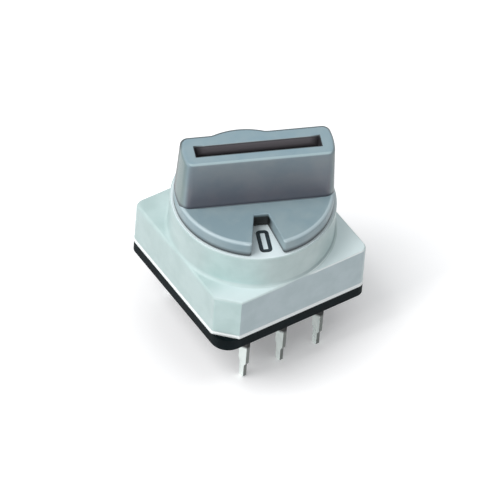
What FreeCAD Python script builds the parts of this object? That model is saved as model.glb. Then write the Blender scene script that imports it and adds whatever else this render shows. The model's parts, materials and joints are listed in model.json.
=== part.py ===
"""A sixteen-position rotary coded switch for a circuit board, with a finned knob.

Frame, in millimetres: the origin is the centre of the seating face that meets the board, +Z points up
along the knob's axis, and the pins stand in two rows along X. The cut-off corner of the housing, which
marks the first pin, is at -X -Y. At rest the knob's notch points at the mark 0, one step from -Y.
"""

import FreeCAD, Part
import math
import os
import re

import Sketcher

# Driving sizes: name, value, what it is.
DRIVING = [
    ("pin_pitch", 2.54, "from pin to pin along a row"),
    ("position_count", 16, "clicks in one turn"),
    ("body_width", 10.0, "across the housing's flats at its lower edge"),
    ("row_inset", 1.19, "each row of pins inside those flats"),
    ("housing_height", 2.93, "square part of the housing"),
    ("lip_height", 0.18, "ledge along the housing's lower edge"),
    ("lip_step", 0.04, "how far that ledge stands out"),
    ("wall_draft", 0.02, "lean of each wall from the ledge to the top"),
    ("key_cut", 1.17, "cut-off corner, measured along each side"),
    ("corner_round", 0.58, "the other three corners"),
    ("collar_inset", 0.12, "round collar inside the flats of the square part's top"),
    ("collar_height", 2.27, "collar above the square part"),
    ("collar_foot", 0.25, "fillet at the collar's foot"),
    ("collar_edge", 0.08, "broken edge at the collar's rim"),
    ("skirt_wall", 0.70, "housing wall round the base"),
    ("pocket_round", 0.30, "corners of the housing's pocket"),
    ("roof_wall", 0.88, "roof of the square part"),
    ("plate_wall", 1.25, "end plate of the collar, round the shaft"),
    ("ring_radius", 3.45, "lands of the click ring"),
    ("scallop_radius", 0.55, "each hollow of the click ring"),
    ("scallop_depth", 0.30, "each hollow beyond the lands"),
    ("stand_off", 0.15, "board to the underside of the base plate"),
    ("base_plate", 0.80, "base plate"),
    ("base_inset", 0.03, "base plate inside the housing's outline"),
    ("base_round", 1.10, "corner of the base plate under the cut-off corner"),
    ("plug_height", 0.80, "part of the base inside the housing"),
    ("plug_gap", 0.04, "clearance between that part and the housing"),
    ("seat_inset", 1.00, "ends of the seating pad inside the flats"),
    ("seat_gap", 0.71, "seating pad to the sealing troughs"),
    ("trough_end", 0.76, "sealing trough beyond its outer pins"),
    ("trough_width", 1.00, "sealing trough across a row"),
    ("trough_depth", 0.25, "sealing trough"),
    ("pivot_radius", 0.66, "post of the base that centres the knob"),
    ("pivot_gap", 0.04, "clearance round that post"),
    ("pivot_depth", 0.75, "blind hole for that post"),
    ("pivot_play", 0.10, "clearance over that post"),
    ("leg_thick", 0.22, "sheet of the terminals"),
    ("leg_width", 0.76, "leg from the base to its shoulder"),
    ("leg_neck", 0.50, "leg inside the base"),
    ("leg_tip", 0.44, "leg below its shoulder"),
    ("shoulder_drop", 2.60, "board to the end of the wide leg"),
    ("taper_length", 0.30, "taper at the shoulder"),
    ("leg_length", 3.95, "board to the tips"),
    ("tip_cut", 0.12, "cut corners of the tips"),
    ("leg_gap", 0.01, "clearance round a leg in the base"),
    ("tab_end", 0.45, "tab beyond the middle of its contact"),
    ("bend_round", 0.15, "outside of the bend between leg and tab"),
    ("finger_thick", 0.08, "sheet of the contacts"),
    ("finger_width", 0.24, "contact"),
    ("finger_foot", 0.50, "welded foot of a contact"),
    ("finger_shift", 0.60, "common contacts from the middle"),
    ("finger_inset", 0.21, "code contacts inside the innermost code track"),
    ("finger_gap", 0.02, "contact to the code plate"),
    ("finger_curl", 0.15, "turned-down end of a contact"),
    ("common_step", 0.41, "innermost code track to the common ring"),
    ("track_pitch", 0.33, "from code track to code track"),
    ("track_rim", 0.19, "outermost code track to the edge of the code plate"),
    ("track_width", 0.26, "windows of a track"),
    ("window_margin", 1.5, "degrees left at each end of a window"),
    ("code_thick", 0.12, "code plate"),
    ("code_rim", 0.24, "common ring to the hole of the code plate"),
    ("code_gap", 0.12, "code plate to the lands of the click ring"),
    ("rotor_gap", 0.07, "rotor disc to those lands"),
    ("rotor_thick", 0.60, "rotor disc"),
    ("hub_gap", 0.33, "rotor hub to the click spring"),
    ("hub_height", 0.94, "rotor hub above the disc"),
    ("washer_thick", 0.20, "thrust washer"),
    ("washer_gap", 0.02, "end play on each side of the washer"),
    ("band_gap", 0.40, "click spring's band to the lands of the click ring"),
    ("band_thick", 0.12, "sheet of the click spring"),
    ("band_height", 0.75, "click spring"),
    ("nose_radius", 0.50, "nose of the click spring"),
    ("nose_gap", 0.04, "nose to the bottom of its hollow"),
    ("spring_gap", 0.02, "click spring above the rotor disc"),
    ("lug_width", 0.40, "lugs that drive the click spring"),
    ("lug_depth", 0.45, "lugs, along the rotor's radius"),
    ("shaft_radius", 2.00, "knob shaft"),
    ("shaft_gap", 0.04, "running clearance of the shaft"),
    ("seal_section", 0.28, "half the side of the seal ring's square section"),
    ("seal_gap", 0.015, "seal ring to the bore"),
    ("seal_play", 0.04, "groove beside the seal ring"),
    ("seal_drop", 0.62, "seal ring below the collar's rim"),
    ("spigot_radius", 1.15, "knob spigot in the rotor"),
    ("spigot_flat", 0.90, "flats of the spigot from the axis"),
    ("spigot_gap", 0.01, "clearance of the spigot"),
    ("stake_gap", 0.08, "staked head under the rotor, inside the hole of the code plate"),
    ("stake_thick", 0.17, "staked head"),
    ("flange_inset", 0.19, "knob flange inside the collar's wall"),
    ("flange_gap", 0.05, "running clearance over the collar"),
    ("flange_thick", 0.92, "knob flange"),
    ("flange_edge", 0.20, "rounded top edge of the flange"),
    ("fin_height", 3.43, "fin above the flange"),
    ("fin_thick", 2.70, "fin at its foot"),
    ("fin_draft", 0.20, "lean of each side of the fin"),
    ("fin_corner", 0.68, "upright corners of the fin"),
    ("fin_edge", 0.20, "rounded top edge of the fin"),
    ("swell_radius", 4.20, "swell on the back of the fin"),
    ("swell_proud", 0.32, "how far the swell stands out"),
    ("swell_shift", 0.90, "swell beside the middle of the fin"),
    ("slot_end", 1.00, "end of the slot inside the flange's edge"),
    ("slot_width", 0.76, "slot in the top of the fin"),
    ("slot_depth", 1.70, "slot"),
    ("slot_lip", 0.08, "broken edge round the slot"),
    ("notch_start", 2.20, "inner end of the notch from the axis"),
    ("notch_inner", 0.84, "notch at its inner end"),
    ("notch_outer", 1.96, "notch at the flange's edge"),
]

# Heights and places that follow from the driving sizes.
DERIVED = [
    ("housing_z", "stand_off + base_plate"),
    ("wall_z", "housing_z + lip_height"),
    ("plug_top", "housing_z + plug_height"),
    ("top_z", "housing_z + housing_height"),
    ("rim_z", "top_z + collar_height"),
    ("ceiling_z", "top_z - roof_wall"),
    ("plate_z", "rim_z - plate_wall"),
    ("washer_z", "plate_z - washer_gap - washer_thick"),
    ("hub_top", "washer_z - washer_gap"),
    ("rotor_top", "hub_top - hub_height"),
    ("rotor_z", "rotor_top - rotor_thick"),
    ("code_z", "rotor_z - code_thick"),
    ("stake_z", "rotor_z - stake_thick"),
    ("spring_z", "rotor_top + spring_gap"),
    ("flange_z", "rim_z + flange_gap"),
    ("flange_top", "flange_z + flange_thick"),
    ("fin_top", "flange_top + fin_height"),
    ("seal_z", "rim_z - seal_drop"),
    ("step_angle", "360 / position_count"),
    ("wall_half", "body_width / 2 - lip_step"),
    ("top_half", "wall_half - wall_draft"),
    ("collar_radius", "top_half - collar_inset"),
    ("flange_radius", "collar_radius - flange_inset"),
    ("slot_length", "2 * (flange_radius - slot_end)"),
    ("row_spacing", "body_width - 2 * row_inset"),
    ("trough_length", "2 * (pin_pitch + trough_end)"),
    ("seat_length", "body_width - 2 * seat_inset"),
    ("seat_width", "row_spacing - trough_width - 2 * seat_gap"),
    ("pocket_half", "body_width / 2 - skirt_wall"),
    ("plug_half", "pocket_half - plug_gap"),
    ("offset_cut", "2 - sqrt(2)"),
    ("bore_radius", "shaft_radius + shaft_gap"),
    ("groove_radius", "bore_radius - seal_gap - 2 * seal_section"),
    ("groove_half", "seal_section + seal_play"),
    ("scallop_place", "ring_radius + scallop_depth - scallop_radius"),
    ("nose_place", "ring_radius + scallop_depth - nose_gap - nose_radius"),
    ("band_radius", "ring_radius - band_gap"),
    ("hub_radius", "band_radius - band_thick - hub_gap"),
    ("rotor_radius", "ring_radius - rotor_gap"),
    ("code_radius", "ring_radius - code_gap"),
    ("outer_track", "code_radius - track_rim"),
    ("inner_track", "outer_track - 3 * track_pitch"),
    ("common_track", "inner_track - common_step"),
    ("code_bore", "common_track - code_rim"),
    ("stake_radius", "code_bore - stake_gap"),
    ("finger_x", "inner_track - finger_inset"),
    ("finger_z", "plug_top + leg_thick"),
    ("tip_z", "code_z - finger_gap"),
]

doc = FreeCAD.newDocument("rotary_coded_switch")
sheet = doc.addObject("Spreadsheet::Sheet", "Sizes")
for row, (alias, value, note) in enumerate(DRIVING, 1):
    sheet.set(f"A{row}", note)
    sheet.set(f"B{row}", str(value))
    sheet.setAlias(f"B{row}", alias)
for row, (alias, formula) in enumerate(DERIVED, len(DRIVING) + 1):
    sheet.set(f"B{row}", "=" + formula)
    sheet.setAlias(f"B{row}", alias)
doc.recompute()

ALIASES = {line[0] for line in DRIVING + DERIVED}
UP = FreeCAD.Vector(0, 0, 1)
pieces = []


def linked(formula):
    """The formula with every size in it pointing at its cell of the sheet."""
    def cell(word):
        return f"Sizes.{word[0]}" if word[0] in ALIASES else word[0]
    return re.sub(r"[a-z][a-z_]*", cell, formula)


def number(formula):
    """The formula's value now."""
    return float(sheet.evalExpression(linked(formula)))


def bind(thing, **formulas):
    for name, formula in formulas.items():
        thing.setExpression(name, linked(formula))
    return thing


def new_body(label, turn=None):
    """A piece of its own; turn is its angle about the knob's axis."""
    body = doc.addObject("PartDesign::Body", label)
    body.Label = label
    body.Placement = FreeCAD.Placement(FreeCAD.Vector(), FreeCAD.Rotation(UP, 0))
    if turn:
        body.setExpression("Placement.Rotation.Angle", linked(turn))
    pieces.append(body)
    return body


def origin_part(body, role):
    return next(part for part in body.Origin.OriginFeatures if part.Role == role)


def new_sketch(body, plane="XY_Plane", lift=None, turn=None):
    """A sketch on one of the body's own planes, lifted off it, or turned about the upright axis."""
    sketch = body.newObject("Sketcher::SketchObject", body.Label + "_sketch")
    sketch.AttachmentSupport = (origin_part(body, plane), "")
    sketch.MapMode = "FlatFace"
    if lift:
        sketch.setExpression("AttachmentOffset.Base.z", linked(lift))
    if turn:
        aside = FreeCAD.Rotation(FreeCAD.Vector(0, 1, 0), 1)
        sketch.AttachmentOffset = FreeCAD.Placement(FreeCAD.Vector(), aside)
        sketch.setExpression("AttachmentOffset.Rotation.Angle", linked(turn))
    return sketch


def hold(sketch, kind, formula, *where):
    """Adds a dimension to the sketch and ties it to its formula."""
    index = sketch.addConstraint(Sketcher.Constraint(kind, *where, number(formula)))
    sketch.setExpression(f"Constraints[{index}]", linked(formula))


def arc_between(start, end, radius):
    """The arc of less than half a turn from start to end, anticlockwise."""
    chord = end - start
    away = math.sqrt(radius ** 2 - (chord.Length / 2) ** 2)
    centre = (start + end) / 2 + UP.cross(chord).normalize() * away
    first, last = (math.atan2(p.y - centre.y, p.x - centre.x) for p in (start, end))
    if last < first:
        last += 2 * math.pi
    return Part.ArcOfCircle(Part.Circle(centre, UP, radius), first, last)


def outline(sketch, points):
    """A closed outline through points (x, y). A point (x, y, radius) starts an arc that bulges outwards
    on an anticlockwise outline, and (x, y, radius, "in") one that curves inwards."""
    spots = [FreeCAD.Vector(number(p[0]), number(p[1]), 0) for p in points]
    first = sketch.GeometryCount
    ends = []
    for k, point in enumerate(points):
        here, there = spots[k], spots[(k + 1) % len(points)]
        if len(point) == 2:
            sketch.addGeometry(Part.LineSegment(here, there), False)
            ends.append((1, 2))
        elif len(point) == 3:
            sketch.addGeometry(arc_between(here, there, number(point[2])), False)
            ends.append((1, 2))
        else:
            sketch.addGeometry(arc_between(there, here, number(point[2])), False)
            ends.append((2, 1))
    for k, point in enumerate(points):
        after = (k + 1) % len(points)
        here, there = (first + k, ends[k][1]), (first + after, ends[after][0])
        sketch.addConstraint(Sketcher.Constraint("Coincident", *here, *there))
        hold(sketch, "DistanceX", point[0], -1, 1, first + k, ends[k][0])
        hold(sketch, "DistanceY", point[1], -1, 1, first + k, ends[k][0])
        if len(point) > 2:
            hold(sketch, "Radius", point[2], first + k)
    return sketch


def rectangle(sketch, x_low, x_high, y_low, y_high):
    return outline(sketch, [(x_low, y_low), (x_high, y_low), (x_high, y_high), (x_low, y_high)])


def circle(sketch, radius, x="0", y="0"):
    centre = FreeCAD.Vector(number(x), number(y), 0)
    index = sketch.addGeometry(Part.Circle(centre, UP, number(radius)), False)
    hold(sketch, "DistanceX", x, -1, 1, index, 3)
    hold(sketch, "DistanceY", y, -1, 1, index, 3)
    hold(sketch, "Radius", radius, index)
    return sketch


def keyed_square(sketch, half, cut, corner, straight=True):
    """A square with three round corners; that at -X -Y is cut off straight or has a radius of its own."""
    near, far = f"{half} - ({corner})", f"{half}"
    last = (f"-({far})", f"-({far}) + {cut}")
    return outline(sketch, [
        (f"-({far}) + {cut}", f"-({far})"),
        (near, f"-({far})", corner),
        (far, f"-({near})"),
        (far, near, corner),
        (near, far),
        (f"-({near})", far, corner),
        (f"-({far})", near),
        last if straight else last + (cut,),
    ])


def grow(body, sketch, length, kind="PartDesign::Pad", taper=None, other_way=False):
    """A pad or a pocket of the sketch; taper is how far its sides lean in over its length."""
    feature = body.newObject(kind, body.Label + "_" + kind.split("::")[1].lower())
    feature.Profile = sketch
    feature.Reversed = other_way
    bind(feature, Length=length)
    if taper:
        bind(feature, TaperAngle=f"-atan(({taper}) / ({length}))")
    return feature


def cut(body, sketch, depth, other_way=False):
    return grow(body, sketch, depth, "PartDesign::Pocket", other_way=other_way)


def spin(body, sketch, kind="PartDesign::Revolution", angle="360"):
    """The sketch turned about the upright axis."""
    feature = body.newObject(kind, body.Label + "_turned")
    feature.Profile = sketch
    feature.ReferenceAxis = (sketch, ["V_Axis"])
    bind(feature, Angle=angle)
    return feature


def repeat(body, feature, count):
    """The feature repeated evenly about the upright axis."""
    pattern = body.newObject("PartDesign::PolarPattern", body.Label + "_pattern")
    pattern.Originals = [feature]
    pattern.Axis = (origin_part(body, "Z_Axis"), [""])
    pattern.Angle = 360
    bind(pattern, Occurrences=count)
    body.Tip = pattern
    return pattern


def round_edges(body, radius, wanted, kind="PartDesign::Fillet"):
    """Rounds or breaks the body's edges whose middle point the test wanted accepts."""
    doc.recompute()
    solid = body.Tip
    names = []
    for k, edge in enumerate(solid.Shape.Edges, 1):
        middle = edge.valueAt((edge.FirstParameter + edge.LastParameter) / 2)
        if wanted(edge, middle):
            names.append(f"Edge{k}")
    feature = body.newObject(kind, body.Label + "_edge")
    feature.Base = (solid, names)
    bind(feature, **{"Radius" if kind.endswith("Fillet") else "Size": radius})
    return feature


def near(value, target):
    return abs(value - target) < 0.01


def make_housing():
    """Moulded shell: a square skirt with one cut corner, a round collar, and the click ring inside."""
    body = new_body("housing")
    ledge = new_sketch(body, lift="housing_z")
    keyed_square(ledge, "body_width / 2", "key_cut", "corner_round")
    grow(body, ledge, "lip_height", taper="lip_step")
    walls = new_sketch(body, lift="wall_z")
    keyed_square(walls, "wall_half", "(key_cut - offset_cut * lip_step)", "corner_round - lip_step")
    grow(body, walls, "housing_height - lip_height", taper="wall_draft")

    collar = new_sketch(body, "XZ_Plane")
    outline(collar, [
        ("0", "top_z"),
        ("collar_radius + collar_foot", "top_z", "collar_foot", "in"),
        ("collar_radius", "top_z + collar_foot"),
        ("collar_radius", "rim_z - collar_edge"),
        ("collar_radius - collar_edge", "rim_z"),
        ("0", "rim_z"),
    ])
    spin(body, collar)
    overhang = new_sketch(body, lift="top_z")
    rectangle(overhang, "-body_width", "body_width", "-body_width", "body_width")
    rectangle(overhang, "-top_half", "top_half", "-top_half", "top_half")
    cut(body, overhang, "collar_foot", other_way=True)

    pocket = new_sketch(body, lift="housing_z")
    keyed_square(pocket, "pocket_half", "(key_cut - offset_cut * skirt_wall)", "pocket_round")
    cut(body, pocket, "ceiling_z - housing_z", other_way=True)
    chamber = new_sketch(body, "XZ_Plane")
    outline(chamber, [
        ("0", "housing_z"),
        ("ring_radius", "housing_z"),
        ("ring_radius", "plate_z"),
        ("bore_radius", "plate_z"),
        ("bore_radius", "rim_z + collar_edge"),
        ("0", "rim_z + collar_edge"),
    ])
    spin(body, chamber, "PartDesign::Groove")
    scallop = new_sketch(body, lift="ceiling_z")
    circle(scallop, "scallop_radius", y="-scallop_place")
    repeat(body, cut(body, scallop, "plate_z - ceiling_z", other_way=True), "position_count")


def leg_places():
    """Each leg: its name, the signs of its place along and across the rows, and its code value."""
    return [("1", -1, -1), ("common_front", 0, -1), ("2", 1, -1),
            ("4", -1, 1), ("common_back", 0, 1), ("8", 1, 1)]


def leg_holes(sketch, rows, grow_by):
    """The holes that the legs of these rows pass through."""
    across = f"leg_neck / 2 + {grow_by}"
    along = f"leg_thick / 2 + {grow_by}"
    for name, column, row in leg_places():
        if row in rows:
            x, y = f"{column} * pin_pitch", f"{row} * row_spacing / 2"
            rectangle(sketch, f"{x} - {along}", f"{x} + {along}", f"{y} - {across}", f"{y} + {across}")
    return sketch


def make_base():
    """Black moulded base: plate, plug, seating pad, pivot post, holes and sealing troughs for the legs."""
    body = new_body("base")
    plate = new_sketch(body, lift="stand_off")
    keyed_square(plate, "body_width / 2 - base_inset", "base_round", "corner_round - base_inset",
                 straight=False)
    grow(body, plate, "base_plate")
    plug = new_sketch(body, lift="housing_z")
    keyed_square(plug, "plug_half", "(key_cut - offset_cut * (skirt_wall + plug_gap))", "pocket_round")
    grow(body, plug, "plug_height")
    seat = new_sketch(body)
    rectangle(seat, "-seat_length / 2", "seat_length / 2", "-seat_width / 2", "seat_width / 2")
    grow(body, seat, "stand_off")
    post = circle(new_sketch(body, lift="plug_top"), "pivot_radius")
    grow(body, post, "stake_z + pivot_depth - pivot_play - plug_top")
    troughs = new_sketch(body, lift="stand_off")
    for row in (-1, 1):
        middle = f"{row} * row_spacing / 2"
        rectangle(troughs, "-trough_length / 2", "trough_length / 2",
                  f"{middle} - trough_width / 2", f"{middle} + trough_width / 2")
    cut(body, troughs, "trough_depth", other_way=True)
    cut(body, leg_holes(new_sketch(body, lift="plug_top"), (-1, 1), "leg_gap"), "plug_top - stand_off")


def make_pin_seal(name, row):
    """Resin that fills the trough round one row of legs."""
    body = new_body("pin_seal_" + name)
    fill = new_sketch(body, lift="stand_off")
    middle = f"{row} * row_spacing / 2"
    rectangle(fill, "-trough_length / 2", "trough_length / 2",
              f"{middle} - trough_width / 2", f"{middle} + trough_width / 2")
    grow(body, leg_holes(fill, (row,), "leg_gap"), "trough_depth")


def place_at_leg(body, column, row):
    """Sets the body at its leg's foot, and turns those of the right-hand or back side half a turn."""
    turn = FreeCAD.Rotation(UP, 0 if column + row / 2 < 0 else 180)
    body.Placement = FreeCAD.Placement(FreeCAD.Vector(), turn)
    body.setExpression("Placement.Base.x", linked(f"{column} * pin_pitch"))
    body.setExpression("Placement.Base.y", linked(f"{row} * row_spacing / 2"))


def make_terminal(name, column, row):
    """Stamped terminal: a shouldered leg with a tab bent over on top of the base."""
    body = new_body("terminal_" + name)
    half, neck, tip = "leg_width / 2", "leg_neck / 2", "leg_tip / 2"
    right = [
        (f"{tip} - tip_cut", "-leg_length"),
        (tip, "tip_cut - leg_length"),
        (tip, "-shoulder_drop - taper_length"),
        (half, "-shoulder_drop"),
        (half, "stand_off"),
        (neck, "stand_off"),
        (neck, "plug_top + leg_thick"),
    ]
    left = [(f"-({y})", z) for y, z in reversed(right)]
    leg = outline(new_sketch(body, "YZ_Plane", lift="-leg_thick / 2"), right + left)
    grow(body, leg, "leg_thick")
    tab = new_sketch(body, lift="plug_top")
    contact = "pin_pitch - finger_x" if column else "finger_shift"
    rectangle(tab, "-leg_thick / 2", f"{contact} + tab_end", "-leg_neck / 2", "leg_neck / 2")
    grow(body, tab, "leg_thick")
    bend_x, bend_z = number("-leg_thick / 2"), number("plug_top + leg_thick")
    round_edges(body, "bend_round", lambda edge, p: near(p.x, bend_x) and near(p.y, 0) and near(p.z, bend_z))
    place_at_leg(body, column, row)


def track_radius(name):
    """The outermost code track is that of 1, and the innermost that of 8."""
    if name.startswith("common"):
        return "common_track"
    return f"outer_track - {['1', '2', '4', '8'].index(name)} * track_pitch"


def make_contact(name, column, row):
    """Sprung contact finger: welded to its terminal's tab, it rises to its track on the code plate."""
    body = new_body("contact_" + name)
    side = "finger_x" if column else "finger_shift"
    reach = f"row_spacing / 2 - sqrt(({track_radius(name)})^2 - {side}^2)"
    foot, top = "finger_foot / 2", "finger_z + finger_thick"
    profile = outline(new_sketch(body, "YZ_Plane", lift="-finger_width / 2"), [
        (f"-{foot}", "finger_z"),
        (foot, "finger_z"),
        (reach, "tip_z - finger_thick"),
        (f"{reach} + finger_curl", "tip_z - finger_thick - finger_curl"),
        (f"{reach} + finger_curl", "tip_z - finger_curl"),
        (reach, "tip_z"),
        (foot, top),
        (f"-{foot}", top),
    ])
    grow(body, profile, "finger_width")
    body.Placement = FreeCAD.Placement(FreeCAD.Vector(), FreeCAD.Rotation(UP, 0 if row < 0 else 180))
    place = f"{column} * finger_x" if column else f"{-row} * finger_shift"
    body.setExpression("Placement.Base.x", linked(place))
    body.setExpression("Placement.Base.y", linked(f"{row} * row_spacing / 2"))


def make_code_plate():
    """Code plate: under the contact of each code value, metal where the position counts it and a window
    where it doesn't. A value's windows are as many steps long as the value, with as much metal between."""
    body = new_body("code_plate")
    blank = circle(circle(new_sketch(body, lift="code_z"), "code_radius"), "code_bore")
    grow(body, blank, "code_thick")
    for name, column, row in leg_places():
        if not column:
            continue
        radius = track_radius(name)
        contact = f"{row} * acos({column} * finger_x / ({radius}))"
        start = f"{contact} + (window_margin - step_angle / 2) * 1 deg"
        window = new_sketch(body, "XZ_Plane", turn=start)
        rectangle(window, f"{radius} - track_width / 2", f"{radius} + track_width / 2",
                  "code_z - code_thick", "code_z + 2 * code_thick")
        groove = spin(body, window, "PartDesign::Groove", f"{name} * step_angle - 2 * window_margin")
        if name != "8":
            repeat(body, groove, f"position_count / {2 * int(name)}")


def make_rotor():
    """Moulded rotor: a disc that backs the code plate, a hub, and two lugs that drive the click spring."""
    body = new_body("rotor", turn="-step_angle")
    grow(body, circle(new_sketch(body, lift="rotor_z"), "rotor_radius"), "rotor_thick")
    grow(body, circle(new_sketch(body, lift="rotor_top"), "hub_radius"), "hub_height")
    lug = new_sketch(body, lift="rotor_top")
    rectangle(lug, "-lug_width / 2", "lug_width / 2", "-hub_radius - lug_depth", "lug_width / 2 - hub_radius")
    repeat(body, grow(body, lug, "band_height"), "2")
    hole = new_sketch(body, lift="rotor_z")
    double_flat(hole, "spigot_radius + spigot_gap", "spigot_flat + spigot_gap")
    cut(body, hole, "hub_top - rotor_z", other_way=True)


def double_flat(sketch, radius, flat):
    """A circle with two flats along X."""
    reach = f"sqrt(({radius})^2 - ({flat})^2)"
    return outline(sketch, [(f"-({reach})", f"-({flat})"), (reach, f"-({flat})", radius),
                            (reach, flat), (f"-({reach})", flat, radius)])


def make_detent_spring():
    """Click spring: a closed band with two formed noses, each seated in a hollow of the click ring."""
    body = new_body("detent_spring", turn="-step_angle")
    grow(body, circle(new_sketch(body, lift="spring_z"), "band_radius"), "band_height")
    nose = circle(new_sketch(body, lift="spring_z"), "nose_radius", y="-nose_place")
    repeat(body, grow(body, nose, "band_height"), "2")
    inside = circle(new_sketch(body, lift="spring_z"), "band_radius - band_thick")
    cut(body, inside, "band_height", other_way=True)
    hollow = circle(new_sketch(body, lift="spring_z"), "nose_radius - band_thick", y="-nose_place")
    repeat(body, cut(body, hollow, "band_height", other_way=True), "2")


def make_thrust_washer():
    body = new_body("thrust_washer")
    ring = circle(circle(new_sketch(body, lift="washer_z"), "hub_radius"), "bore_radius")
    grow(body, ring, "washer_thick")


def make_seal_ring():
    """Square-cut rubber ring in the shaft's groove."""
    body = new_body("seal_ring")
    section = new_sketch(body, "XZ_Plane")
    rectangle(section, "groove_radius", "bore_radius - seal_gap",
              "seal_z - seal_section", "seal_z + seal_section")
    spin(body, section)


def make_knob():
    """Moulded knob: shaft and flange turned about the axis, the slotted fin across it, and the notch."""
    body = new_body("knob", turn="-step_angle")
    turned = new_sketch(body, "XZ_Plane")
    outline(turned, [
        ("0", "hub_top"),
        ("shaft_radius", "hub_top"),
        ("shaft_radius", "seal_z - groove_half"),
        ("groove_radius", "seal_z - groove_half"),
        ("groove_radius", "seal_z + groove_half"),
        ("shaft_radius", "seal_z + groove_half"),
        ("shaft_radius", "flange_z"),
        ("flange_radius", "flange_z"),
        ("flange_radius", "flange_top - flange_edge", "flange_edge"),
        ("flange_radius - flange_edge", "flange_top"),
        ("0", "flange_top"),
    ])
    spin(body, turned)

    half = "fin_thick / 2"
    round_x = f"sqrt((flange_radius - fin_corner)^2 - ({half} - fin_corner)^2)"
    blend = "flange_radius / (flange_radius - fin_corner)"
    end_x, end_y = f"{round_x} * {blend}", f"({half} - fin_corner) * {blend}"
    chord = "sqrt(swell_radius^2 - (swell_radius - swell_proud)^2)"
    fin = outline(new_sketch(body, lift="flange_z"), [
        (f"-{round_x}", f"-{half}"),
        (round_x, f"-{half}", "fin_corner"),
        (end_x, f"-{end_y}", "flange_radius"),
        (end_x, end_y, "fin_corner"),
        (round_x, half),
        (f"{chord} - swell_shift", half, "swell_radius"),
        (f"-{chord} - swell_shift", half),
        (f"-{round_x}", half, "fin_corner"),
        (f"-{end_x}", end_y, "flange_radius"),
        (f"-{end_x}", f"-{end_y}", "fin_corner"),
    ])
    grow(body, fin, "flange_thick + fin_height", taper="fin_draft")
    top = number("fin_top")
    round_edges(body, "fin_edge", lambda edge, p: near(p.z, top))

    slot = new_sketch(body, lift="fin_top")
    rectangle(slot, "-slot_length / 2", "slot_length / 2", "-slot_width / 2", "slot_width / 2")
    cut(body, slot, "slot_depth")
    mouth_x, mouth_y = number("slot_length / 2"), number("slot_width / 2")

    def at_mouth(edge, p):
        at_end = near(abs(p.x), mouth_x) and near(p.y, 0)
        at_side = near(abs(p.y), mouth_y) and near(p.x, 0)
        return near(p.z, top) and (at_end or at_side)

    round_edges(body, "slot_lip", at_mouth, "PartDesign::Chamfer")

    notch = outline(new_sketch(body, lift="flange_top"), [
        ("-notch_outer / 2", "-flange_radius"),
        ("-notch_outer / 2", "-flange_radius - flange_edge"),
        ("notch_outer / 2", "-flange_radius - flange_edge"),
        ("notch_outer / 2", "-flange_radius"),
        ("notch_inner / 2", "-notch_start"),
        ("-notch_inner / 2", "-notch_start"),
    ])
    cut(body, notch, "flange_thick")

    spigot = double_flat(new_sketch(body, lift="stake_z"), "spigot_radius", "spigot_flat")
    grow(body, spigot, "hub_top - stake_z")
    grow(body, circle(new_sketch(body, lift="stake_z"), "stake_radius"), "stake_thick")
    pivot = circle(new_sketch(body, lift="stake_z"), "pivot_radius + pivot_gap")
    cut(body, pivot, "pivot_depth", other_way=True)


make_housing()
make_base()
make_pin_seal("front", -1)
make_pin_seal("back", 1)
for leg in leg_places():
    make_terminal(*leg)
    make_contact(*leg)
make_code_plate()
make_rotor()
make_detent_spring()
make_thrust_washer()
make_seal_ring()
make_knob()
doc.recompute()

for thing in doc.Objects:
    if "Invalid" in thing.State or "Error" in thing.State:
        raise RuntimeError(f"{thing.Name} failed: {thing.State}")
os.makedirs("parts", exist_ok=True)
for piece in pieces:
    if piece.Shape.isNull() or not piece.Shape.isValid():
        raise RuntimeError(f"{piece.Label} has no valid shape")
for piece in pieces:
    piece.Shape.exportStep(f"parts/{piece.Label}.step")
    print(piece.Label, len(piece.Shape.Solids), round(piece.Shape.Volume, 3))
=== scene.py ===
"""Looks of the sixteen-position rotary coded switch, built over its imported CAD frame.

Lengths are in millimetres and scaled to metres as each mesh is made. The frame is the CAD one: the seating
face at z = 0, +Z up along the knob's axis, the two rows of pins along X, and the cut corner at -X -Y.
Front is -Y and left is -X; on the knob they turn with it by KNOB_TURN.
"""

import json
import math

import bpy
import numpy as np
from mathutils import Matrix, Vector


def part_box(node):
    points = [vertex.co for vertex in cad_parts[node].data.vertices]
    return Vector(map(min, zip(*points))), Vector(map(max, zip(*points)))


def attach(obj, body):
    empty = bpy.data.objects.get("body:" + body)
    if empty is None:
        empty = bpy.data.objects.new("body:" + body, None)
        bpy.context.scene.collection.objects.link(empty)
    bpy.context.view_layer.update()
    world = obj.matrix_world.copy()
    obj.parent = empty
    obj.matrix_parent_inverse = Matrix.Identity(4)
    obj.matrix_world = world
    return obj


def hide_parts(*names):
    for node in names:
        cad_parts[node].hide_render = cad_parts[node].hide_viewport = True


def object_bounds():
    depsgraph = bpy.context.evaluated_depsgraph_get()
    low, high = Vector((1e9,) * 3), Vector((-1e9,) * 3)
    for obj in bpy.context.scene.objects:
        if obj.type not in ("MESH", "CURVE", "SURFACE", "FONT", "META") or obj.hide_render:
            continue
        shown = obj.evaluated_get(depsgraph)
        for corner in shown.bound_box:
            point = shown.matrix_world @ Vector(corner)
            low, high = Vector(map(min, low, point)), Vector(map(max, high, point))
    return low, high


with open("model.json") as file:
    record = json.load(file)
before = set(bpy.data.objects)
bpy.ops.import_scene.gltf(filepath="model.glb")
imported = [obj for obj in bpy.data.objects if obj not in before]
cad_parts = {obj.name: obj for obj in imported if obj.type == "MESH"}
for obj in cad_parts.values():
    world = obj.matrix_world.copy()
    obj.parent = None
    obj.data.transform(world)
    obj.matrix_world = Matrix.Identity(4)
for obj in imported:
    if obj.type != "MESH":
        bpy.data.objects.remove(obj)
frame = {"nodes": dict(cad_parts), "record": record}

MM = 0.001
UP, FRONT = (0, 0, 1), (0, -1, 0)
SHARP_ANGLE = math.radians(32)
cad_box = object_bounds()
housing_low, housing_high = (np.array(corner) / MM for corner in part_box("housing"))
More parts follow.
